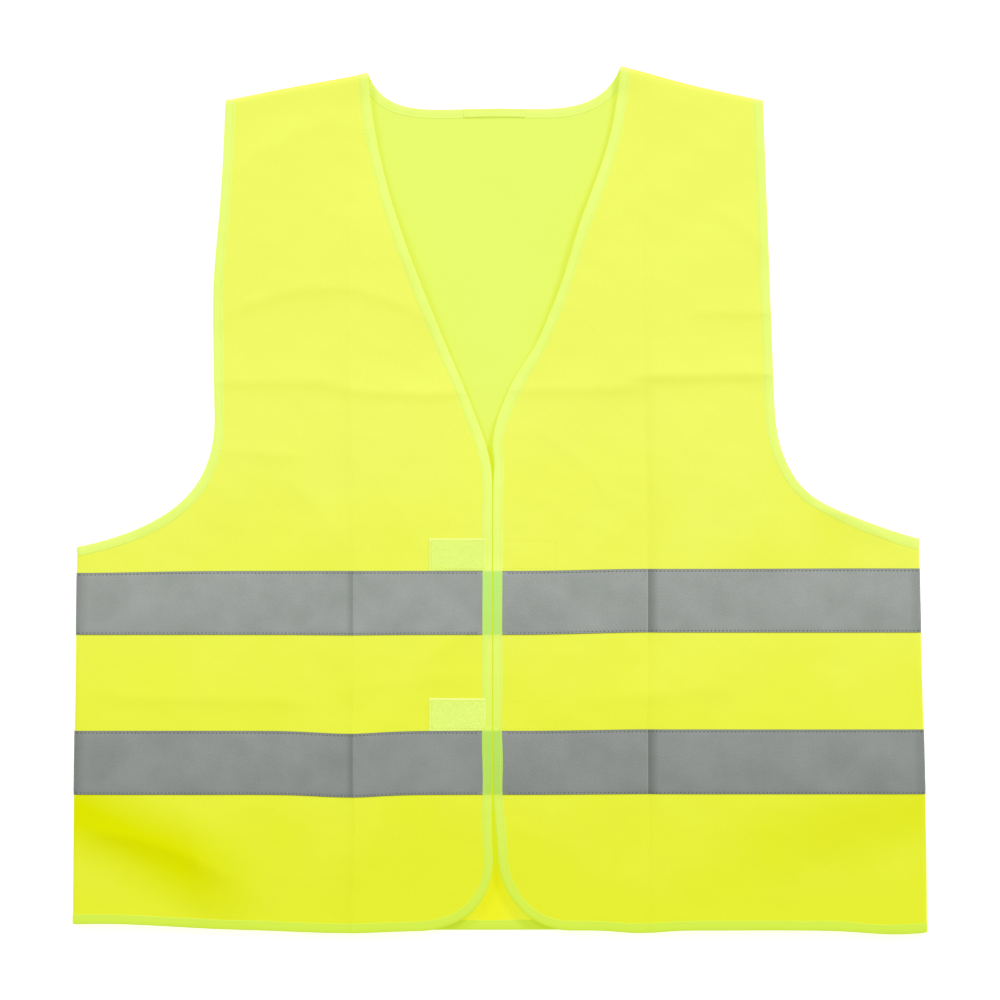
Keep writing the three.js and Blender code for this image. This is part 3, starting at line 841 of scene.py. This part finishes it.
def band_grid(level, x0, x1):
    """Flat places of one band: columns along it and rows across it, close together at the edges."""
    low = LEVELS[level][0]
    across = np.array([0, .0005, .0010, .0016, .0024, .0036, .006, .012, .018, .025])
    across = np.r_[across, (BAND_HEIGHT - across[:-1])[::-1]]
    along = np.linspace(x0, x1, int(round((x1 - x0) / TAPE_COLUMN)) + 1)
    along = fold_columns(along) if x0 > 0 else along
    across, along = np.meshgrid(across, along, indexing="ij")
    return along, low + across


def sew_band(name, level, x0, x1, face, side, lift=0.0):
    """One length of tape over the cloth."""
    x, y = band_grid(level, x0, x1)
    across = y - LEVELS[level][0]
    return cloth_sheet(name, side * x, y, tape_height(x, across) + lift, face, tape,
                       TAPE_THICKNESS, turned=side * face < 0,
                       flat=np.stack([side * x, across], -1))


TAPE_START = 0.0030
for level in LEVELS:
    for hand, side in HANDS.items():
        piece = sew_band(f"{hand}_{level}_tape", level, TAPE_START, SIDE, 1, side)
        hinge_to_flap(piece, hand, "reflective_tape", f"{hand}_front_{level}_band",
                      f"{hand}_flap_{level}_band")
    piece = sew_band(f"back_{level}_tape", level, -SIDE, SIDE, -1, 1, -BACK_TAPE_DROP)
    fasten(piece, "vest_body", "reflective_tape", f"back_{level}_band")

# %% [markdown]
# ## Edge binding
# A narrow tape is folded over every raw edge and sewn through once. Its section is carried along
# the edge: flat walls above and below the cloth, a round fold just outside the edge, and a shallow
# groove where the stitches sit. Close to the stitches it ripples.

# %% Binding along a path
GROOVE = 0.0060
GROOVE_WIDTH = 0.0022
RIPPLE = 0.00006
BINDING_PITCH = 0.0029
TAPE_STEP = 0.00030
TAPE_END = 0.004
# The upper wall of the section: distance in from the edge, height over the middle of the cloth.
upper_wall = np.array([(7.5, 0.20), (7.3, 0.34), (6.9, 0.46), (6.4, 0.46), (6.0, 0.42),
                       (5.5, 0.47), (4.8, 0.56), (3.6, 0.62), (2.2, 0.62), (0.9, 0.56),
                       (0.15, 0.36)]) * MM
fold_point = np.array([[-0.0001, 0.0]])
section = np.r_[upper_wall, fold_point, (upper_wall * (1, -1))[::-1]]


def along_path(path):
    """Unit direction at each point of a path, and the direction into the cloth on its left."""
    ahead = np.gradient(path, axis=0)
    ahead = ahead / np.hypot(*ahead.T)[:, None]
    return ahead, np.c_[-ahead[:, 1], ahead[:, 0]]


def tape_under(path):
    """1 where a binding path crosses a front band near the front edge, with soft ends."""
    x, y = path.T
    inside = [soft_step(low - TAPE_END, low, y) * (1 - soft_step(high, high + TAPE_END, y))
              for low, high in LEVELS.values()]
    return sum(inside) * (x < 0.05)


def bind(name, path, into, faces, side, seed):
    """Carries the binding's section along a path of the left half, or along its mirror image."""
    run = run_along(path)[:, None]
    w = section[:, 0] * (1 + 0.03 * waves(run, run * 0, seed, 0.05))
    h = section[:, 1] + TAPE_STEP * tape_under(path)[:, None] * (section[:, 1] > 0)
    sway = waves(run, run * 0, seed + 1, 0.03)
    ripple = RIPPLE * np.sin(2 * np.pi * run / BINDING_PITCH + sway)
    h = h + np.sign(h) * ripple * bump(w, GROOVE, GROOVE_WIDTH)
    x = path[:, :1] + into[:, :1] * w
    y = path[:, 1:] + into[:, 1:] * w
    points = place(side * x, y, h, faces[:, None])
    rows, columns = w.shape
    turned = side * faces[0] < 0
    quads = grid_faces(rows, columns, closed=True, turned=turned)
    first, last = list(range(columns)), list(range((rows - 1) * columns, rows * columns))
    (last if turned else first).reverse()
    print(name, w.shape, "grid")
    return make_piece(name, points, quads + [first, last], binding, np.stack([run + 0 * w, w], -1))


# %% Paths of the bindings
STEP = 0.0011
SMOOTHED = 30  # points to either side that soften the bend where the neckline meets the edge
front_path = even(front_line, STEP)
window = np.hanning(2 * SMOOTHED + 1)
padded = np.pad(front_path, ((SMOOTHED, SMOOTHED), (0, 0)), mode="edge")
softer = np.stack([np.convolve(padded[:, i], window / window.sum(), "valid") for i in (0, 1)], 1)
near_meeting = bump(front_path[:, 1], MEET[1], 0.045)[:, None]
front_path = front_path + (softer - front_path) * near_meeting
front_into = along_path(front_path)[1]
arm_path = even(armhole, STEP)
arm_into = along_path(arm_path)[1]
arm_path = np.r_[arm_path, arm_path[-2::-1]]
arm_into = np.r_[arm_into, arm_into[-2::-1]]
arm_faces = np.r_[np.ones(len(arm_path) // 2 + 1), -np.ones(len(arm_path) // 2)]
neck_path = even(np.r_[back_neck, (back_neck * (-1, 1))[-2::-1]], STEP)
neck_into = along_path(neck_path)[1]
hem_path = even(np.array([(-SIDE, HEM), (SIDE, HEM)]), STEP)
hem_into = along_path(hem_path)[1]
front_faces = np.ones(len(front_path))
BACK_PATHS = (("neck", neck_path, neck_into), ("hem", hem_path, hem_into))
print("points along: front", len(front_path), "armhole", len(arm_path), "hem", len(hem_path))

# %% Bindings
for number, (hand, side) in enumerate(HANDS.items()):
    piece = bind(f"{hand}_front_edging", front_path, front_into, front_faces, side, 30 + number)
    hinge_to_flap(piece, hand, "edge_binding", f"{hand}_front_hem_binding",
                  f"{hand}_front_neck_binding", f"{hand}_front_edge_binding")
    piece = bind(f"{hand}_armhole_edging", arm_path, arm_into, arm_faces, side, 40 + number)
    fasten(piece, "vest_body", "edge_binding", f"{hand}_armhole_binding_front",
           f"{hand}_armhole_binding_back")
for name, path, into in BACK_PATHS:
    piece = bind(f"back_{name}_edging", path, into, -np.ones(len(path)), 1, 50)
    fasten(piece, "vest_body", "edge_binding", f"back_{name}_binding")

# %% [markdown]
# ## Stitches and other small repeats
# Thousands of stitches would be slow as separate objects, so each row is one mesh: a tiny thread
# of some thirty faces is worked out once, and numpy copies it to every place in one step. The same
# helper sets the little loops and hooks of the closure tapes.

# %% One small thread, and copies of it
def thread_unit(a, c, radius, sides=6):
    """A round thread along a curve in an upright plane: a ring of points square to each step."""
    line = np.stack([a, c], 1)
    ahead = np.gradient(line, axis=0)
    ahead = ahead / np.hypot(*ahead.T)[:, None]
    turn = 2 * np.pi * np.arange(sides) / sides
    ring, radius = np.cos(turn), np.broadcast_to(radius, len(line))[:, None]
    points = np.stack([line[:, :1] - ahead[:, 1:] * radius * ring,
                       radius * np.sin(turn) + 0 * line[:, :1],
                       line[:, 1:] + ahead[:, :1] * radius * ring], -1).reshape(-1, 3)
    quads = grid_faces(len(line), sides, closed=True, turned=True)
    cap = [[0, 1, 2, 3], [0, 3, 4, 5]] if sides == 6 else [[0, 1, 2, 3]]
    end = [[(len(line) - 1) * sides + i for i in face[::-1]] for face in cap]
    return points, np.array(quads + cap + end)


def scatter(name, unit, x, y, heading, h, face, side, material, size=1.0):
    """Copies the unit to flat places: turned to its heading, scaled, lifted to h, then laid."""
    shape, quads = unit
    x, y, heading, h, face, size = (v[:, None] for v in np.broadcast_arrays(x, y, heading, h,
                                                                            face, size))
    a, b, c = (shape[:, i] * size for i in range(3))
    flat_x = x + np.cos(heading) * a - np.sin(heading) * b
    flat_y = y + np.sin(heading) * a + np.cos(heading) * b
    points = place(side * flat_x, flat_y, h + c, face)
    faces = quads + np.arange(len(x))[:, None, None] * len(shape)
    faces = np.where((side * face < 0)[:, :, None], faces[:, :, ::-1], faces)
    print(name, len(x), "copies")
    return make_piece(name, points, faces.reshape(-1, quads.shape[1]).tolist(), material)


def lock_stitch(length, radius):
    """One visible stitch: a short thread that rises from the cloth and dives in again.

    With t from -1 to 1 along it, both its height and its radius fall off with t to the fourth.
    """
    t = np.array([-1, -0.8, -0.3, 0.3, 0.8, 1])
    return thread_unit(t * length / 2, radius * (0.9 - 1.5 * t**4), radius * (1.02 - 0.6 * t**4))


def row(path, pitch):
    """Even places along a path, with the heading of the path at each."""
    spots = even(path, pitch)
    spots = (spots[1:] + spots[:-1]) / 2
    ahead = along_path(spots)[0]
    return spots[:, 0], spots[:, 1], np.arctan2(ahead[:, 1], ahead[:, 0])


def two_rows(lines, pitch):
    """Places and headings along straight lines, one line after the other."""
    return [np.concatenate(v) for v in zip(*(row(np.array(line), pitch) for line in lines))]


# %% Stitches on the bands
TAPE_STITCH = lock_stitch(0.0015, 0.00021)
chance = np.random.default_rng(11)


def band_rows(level, x0, x1):
    """Both rows of stitches of a band."""
    low, high = LEVELS[level]
    return two_rows([((x0, at), (x1, at)) for at in (low + ROW_INSET, high - ROW_INSET)], STITCH_PITCH)


STITCH_LIFT = TAPE_LIFT + TAPE_THICKNESS / 2 + 0.00002
FIRST_STITCH = 0.0115
LAST_STITCH = SIDE - 0.001
for level in LEVELS:
    for hand, side in HANDS.items():
        x, y, heading = band_rows(level, FIRST_STITCH, LAST_STITCH)
        heading = heading + 0.05 + chance.normal(0, 0.03, len(x))
        piece = scatter(f"{hand}_{level}_tape_stitches", TAPE_STITCH, x, y, heading, STITCH_LIFT,
                        1, side, tape_thread)
        hinge_to_flap(piece, hand, "thread", f"{hand}_front_{level}_stitching",
                      f"{hand}_flap_{level}_stitching")
    x, y, heading = band_rows(level, -LAST_STITCH, LAST_STITCH)
    piece = scatter(f"back_{level}_tape_stitches", TAPE_STITCH, x, y, heading,
                    STITCH_LIFT - BACK_TAPE_DROP, -1, 1, tape_thread)
    fasten(piece, "vest_body", "thread", f"back_{level}_stitching")

# %% Stitches on the bindings
BINDING_STITCH = lock_stitch(0.0022, 0.00016)
THREAD_LIFT = 0.00044


def binding_stitches(name, path, into, faces, side):
    """One row in the groove of a binding."""
    line = path + into * GROOVE
    run = run_along(line)
    at = np.arange(0.0015, run[-1] - 0.001, BINDING_PITCH)
    x, y = np.interp(at, run, line[:, 0]), np.interp(at, run, line[:, 1])
    face = np.where(np.interp(at, run, faces) > 0, 1.0, -1.0)
    ahead = np.gradient(np.c_[x, y], axis=0)
    heading = np.arctan2(ahead[:, 1], ahead[:, 0]) + chance.normal(0, 0.05, len(x))
    lift = THREAD_LIFT + TAPE_STEP * tape_under(np.c_[x, y])
    return scatter(name, BINDING_STITCH, x, y, heading, lift, face, side, yellow_thread)


for hand, side in HANDS.items():
    piece = binding_stitches(f"{hand}_front_edging_stitches", front_path, front_into, front_faces, side)
    hinge_to_flap(piece, hand, "thread")
    piece = binding_stitches(f"{hand}_armhole_stitches", arm_path, arm_into, arm_faces, side)
    fasten(piece, "vest_body", "thread")
for name, path, into in BACK_PATHS:
    piece = binding_stitches(f"back_{name}_edging_stitches", path, into, -np.ones(len(path)), 1)
    fasten(piece, "vest_body", "thread")

# %% [markdown]
# ## Side and shoulder seams
# The back and the fronts are sewn right sides together and turned, so the joined edges end up
# inside as a narrow doubled strip, bound by a loose thread, and a fine row of stitches shows in
# the groove outside.

# %% Seams
SEAM_STRIP = 0.008
SEAM_THICKNESS = 0.0009
SEAM_PITCH = 0.0027


def seam(hand, kind, start, end):
    """The joined edges inside, as a doubled strip at the middle height, and its threads."""
    side = HANDS[hand]
    path = even(np.array([start, end]), 0.004)
    into = along_path(path)[1]
    w = np.linspace(0.0004, SEAM_STRIP, 5)
    x = side * (path[:, :1] + into[:, :1] * w)
    y = path[:, 1:] + into[:, 1:] * w
    shift = drift(x, y, 0)
    z = MIDDLE_Z + 0.0004 * waves(x, y, 61, 0.05) * w / SEAM_STRIP
    strip = make_piece(f"{hand}_{kind}_join", np.stack([x + shift[0], y + shift[1], z], -1),
                       grid_faces(*x.shape), cloth, np.stack([x, y], -1))
    thicken(strip, SEAM_THICKNESS)
    fasten(strip, "vest_body", "cloth", f"{hand}_{kind}_seam")
    x, y, heading = row(path, SEAM_PITCH)
    piece = scatter(f"{hand}_{kind}_stitches", BINDING_STITCH, x, y, heading, -0.0002, 1, side,
                    yellow_thread)
    fasten(piece, "vest_body", "thread")


for hand in HANDS:
    seam(hand, "side", (SIDE, HEM), UNDERARM)
    seam(hand, "shoulder", ARM, NECK)

# %% [markdown]
# ## Closures
# Two loop strips are sewn on the outside of one front and two hook strips under the other. The
# loop strip is a pile of tiny raised threads, the hook strip rows of small bent hooks on a plastic
# base. Their ends go under the binding.

# %% Closure strips
UNDER_BINDING = 0.003
BASE_THICKNESS = 0.0003
STRIP_INSET = 0.0017


def strip_base(name, node, h, side, material):
    """The woven or moulded base of a closure strip, over the frame node's place."""
    low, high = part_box(node)
    near, far = sorted((abs(low.x), abs(high.x)))
    y, x = np.meshgrid(np.linspace(low.y - 0.0005, high.y, 30),
                       np.linspace(near - UNDER_BINDING, far, 48), indexing="ij")
    wavy = y + 0.0003 * np.sin(40 * x + 90 * y)
    base = cloth_sheet(name, side * x, wavy, h, 1, material, BASE_THICKNESS, turned=side < 0)
    return base, (x.min(), x.max(), low.y, high.y)


def field(extent, pitch, margin, seed, jitter):
    """Places in staggered rows over a rectangle, each moved a little at random."""
    draw = np.random.default_rng(seed)
    x0, x1, y0, y1 = extent
    x = np.arange(x0 + margin, x1 - margin, pitch)
    y = np.arange(y0 + margin, y1 - margin, pitch)
    x, y = np.meshgrid(x, y)
    x = x + (np.arange(len(x)) % 2)[:, None] * pitch / 2
    x, y = x.ravel(), y.ravel()
    move = draw.normal(0, jitter, (3, len(x)))
    return x + move[0] * pitch, y + move[1] * pitch, move[2]


arc = np.linspace(-0.35, np.pi + 0.35, 7)
PILE = thread_unit(-0.00055 * np.cos(arc), 0.00045 * np.sin(arc), 0.00007, sides=4)
HOOK = thread_unit(np.array([0, 0, 0.00002, 0.0002, 0.0004, 0.00045]),
                   -np.array([0, 0.0003, 0.0005, 0.00062, 0.00055, 0.0004]), 0.00008, sides=4)
# For each kind: hand, heights of base and fibres, fibre, its pitch, margin, seed and jitter, how far
# it may turn, material, name of the fibres. Then for the seams round them: height and thread.
CLOSURES = {
    "loop": ("right", 0.00038, 0.00052, PILE, (0.00085, 0.0012, 71, 0.25), 9, loop_pile, "loop_pile"),
    "hook": ("left", -0.0004, -0.00052, HOOK, (0.0014, 0.0016, 72, 0.04), 3, hook_plastic, "hooks"),
}
CLOSURE_SEAMS = {"loop": ("right", 0.00060, yellow_thread),
                 "hook": ("left", CLOTH_THICKNESS / 2 - 0.00006, cloth_thread)}
for level in LEVELS:
    for kind, (hand, low, top, unit, spread, turns, material, fibres) in CLOSURES.items():
        node, body, finish = f"{level}_{kind}_strip", f"{hand}_front_flap", f"{kind}_tape"
        base, extent = strip_base(f"{level}_{finish}", node, low, HANDS[hand], material)
        fasten(base, body, finish, node)
        x, y, spin = field(extent, *spread)
        piece = scatter(f"{level}_{fibres}", unit, x, y, spin * turns, top, 1, HANDS[hand], material)
        fasten(piece, body, finish)
    near, far, low, high = extent
    far, low, high = far - STRIP_INSET, low + STRIP_INSET, high - STRIP_INSET
    x, y, heading = row(np.array([(near, high), (far, high), (far, low), (near, low)]), SEAM_PITCH)
    for kind, (hand, lift, thread) in CLOSURE_SEAMS.items():
        piece = scatter(f"{level}_{kind}_tape_stitches", BINDING_STITCH, x, y, heading, lift, 1,
                        HANDS[hand], thread)
        fasten(piece, f"{hand}_front_flap", "thread")

# %% [markdown]
# ## The lap at the back of the neck and the loose thread ends
# The long edge binding starts and ends at the back of the neck, where one end laps over the other
# and two rows of stitches hold it. A tailor also leaves thread ends, here two short ones where the
# lower band meets the front binding.

# %% Neck lap
low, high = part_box("neck_binding_lap")
across = np.linspace(low.x, high.x, 60)
down = np.linspace(0.0001, 0.0068, 9)
w, x = np.meshgrid(down, across, indexing="ij")
y = np.interp(np.abs(x), back_neck_x, back_neck_y) - w
h = -0.00068 - 0.00005 * np.sin(np.pi * w / down[-1])
lap = cloth_sheet("neck_edging_lap", x, y, h, -1, binding, 0.00014, flat=np.stack([x, w], -1))
fasten(lap, "vest_body", "edge_binding", "neck_binding_lap")
row_x = high.x - 0.003
x, y, heading = two_rows([((x, high.y - 0.0005), (x, low.y + 0.0005)) for x in (-row_x, row_x)], 0.0022)
piece = scatter("neck_lap_stitches", BINDING_STITCH, x, y, heading, -0.00092, -1, 1, yellow_thread)
fasten(piece, "vest_body", "thread")

# %% Thread ends
t = np.linspace(0, 1, 9)
TAIL = thread_unit(0.009 * t, 0.0002 + 0.0006 * np.sin(np.pi * t), 0.00012)
high = LEVELS["lower"][1]
piece = scatter("thread_ends", TAIL, np.array([0.0060, 0.0066]), np.array([high, high + 0.001]),
                np.array([1.15, 1.9]), 0.0010, 1, 1, yellow_thread)
fasten(piece, "left_front_flap", "thread")

# %% [markdown]
# ## The size of the finished vest
# The box round every visible piece is printed in millimetres.


low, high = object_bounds()
print("visual box in mm:", [round(v * 1000, 1) for v in high - low])
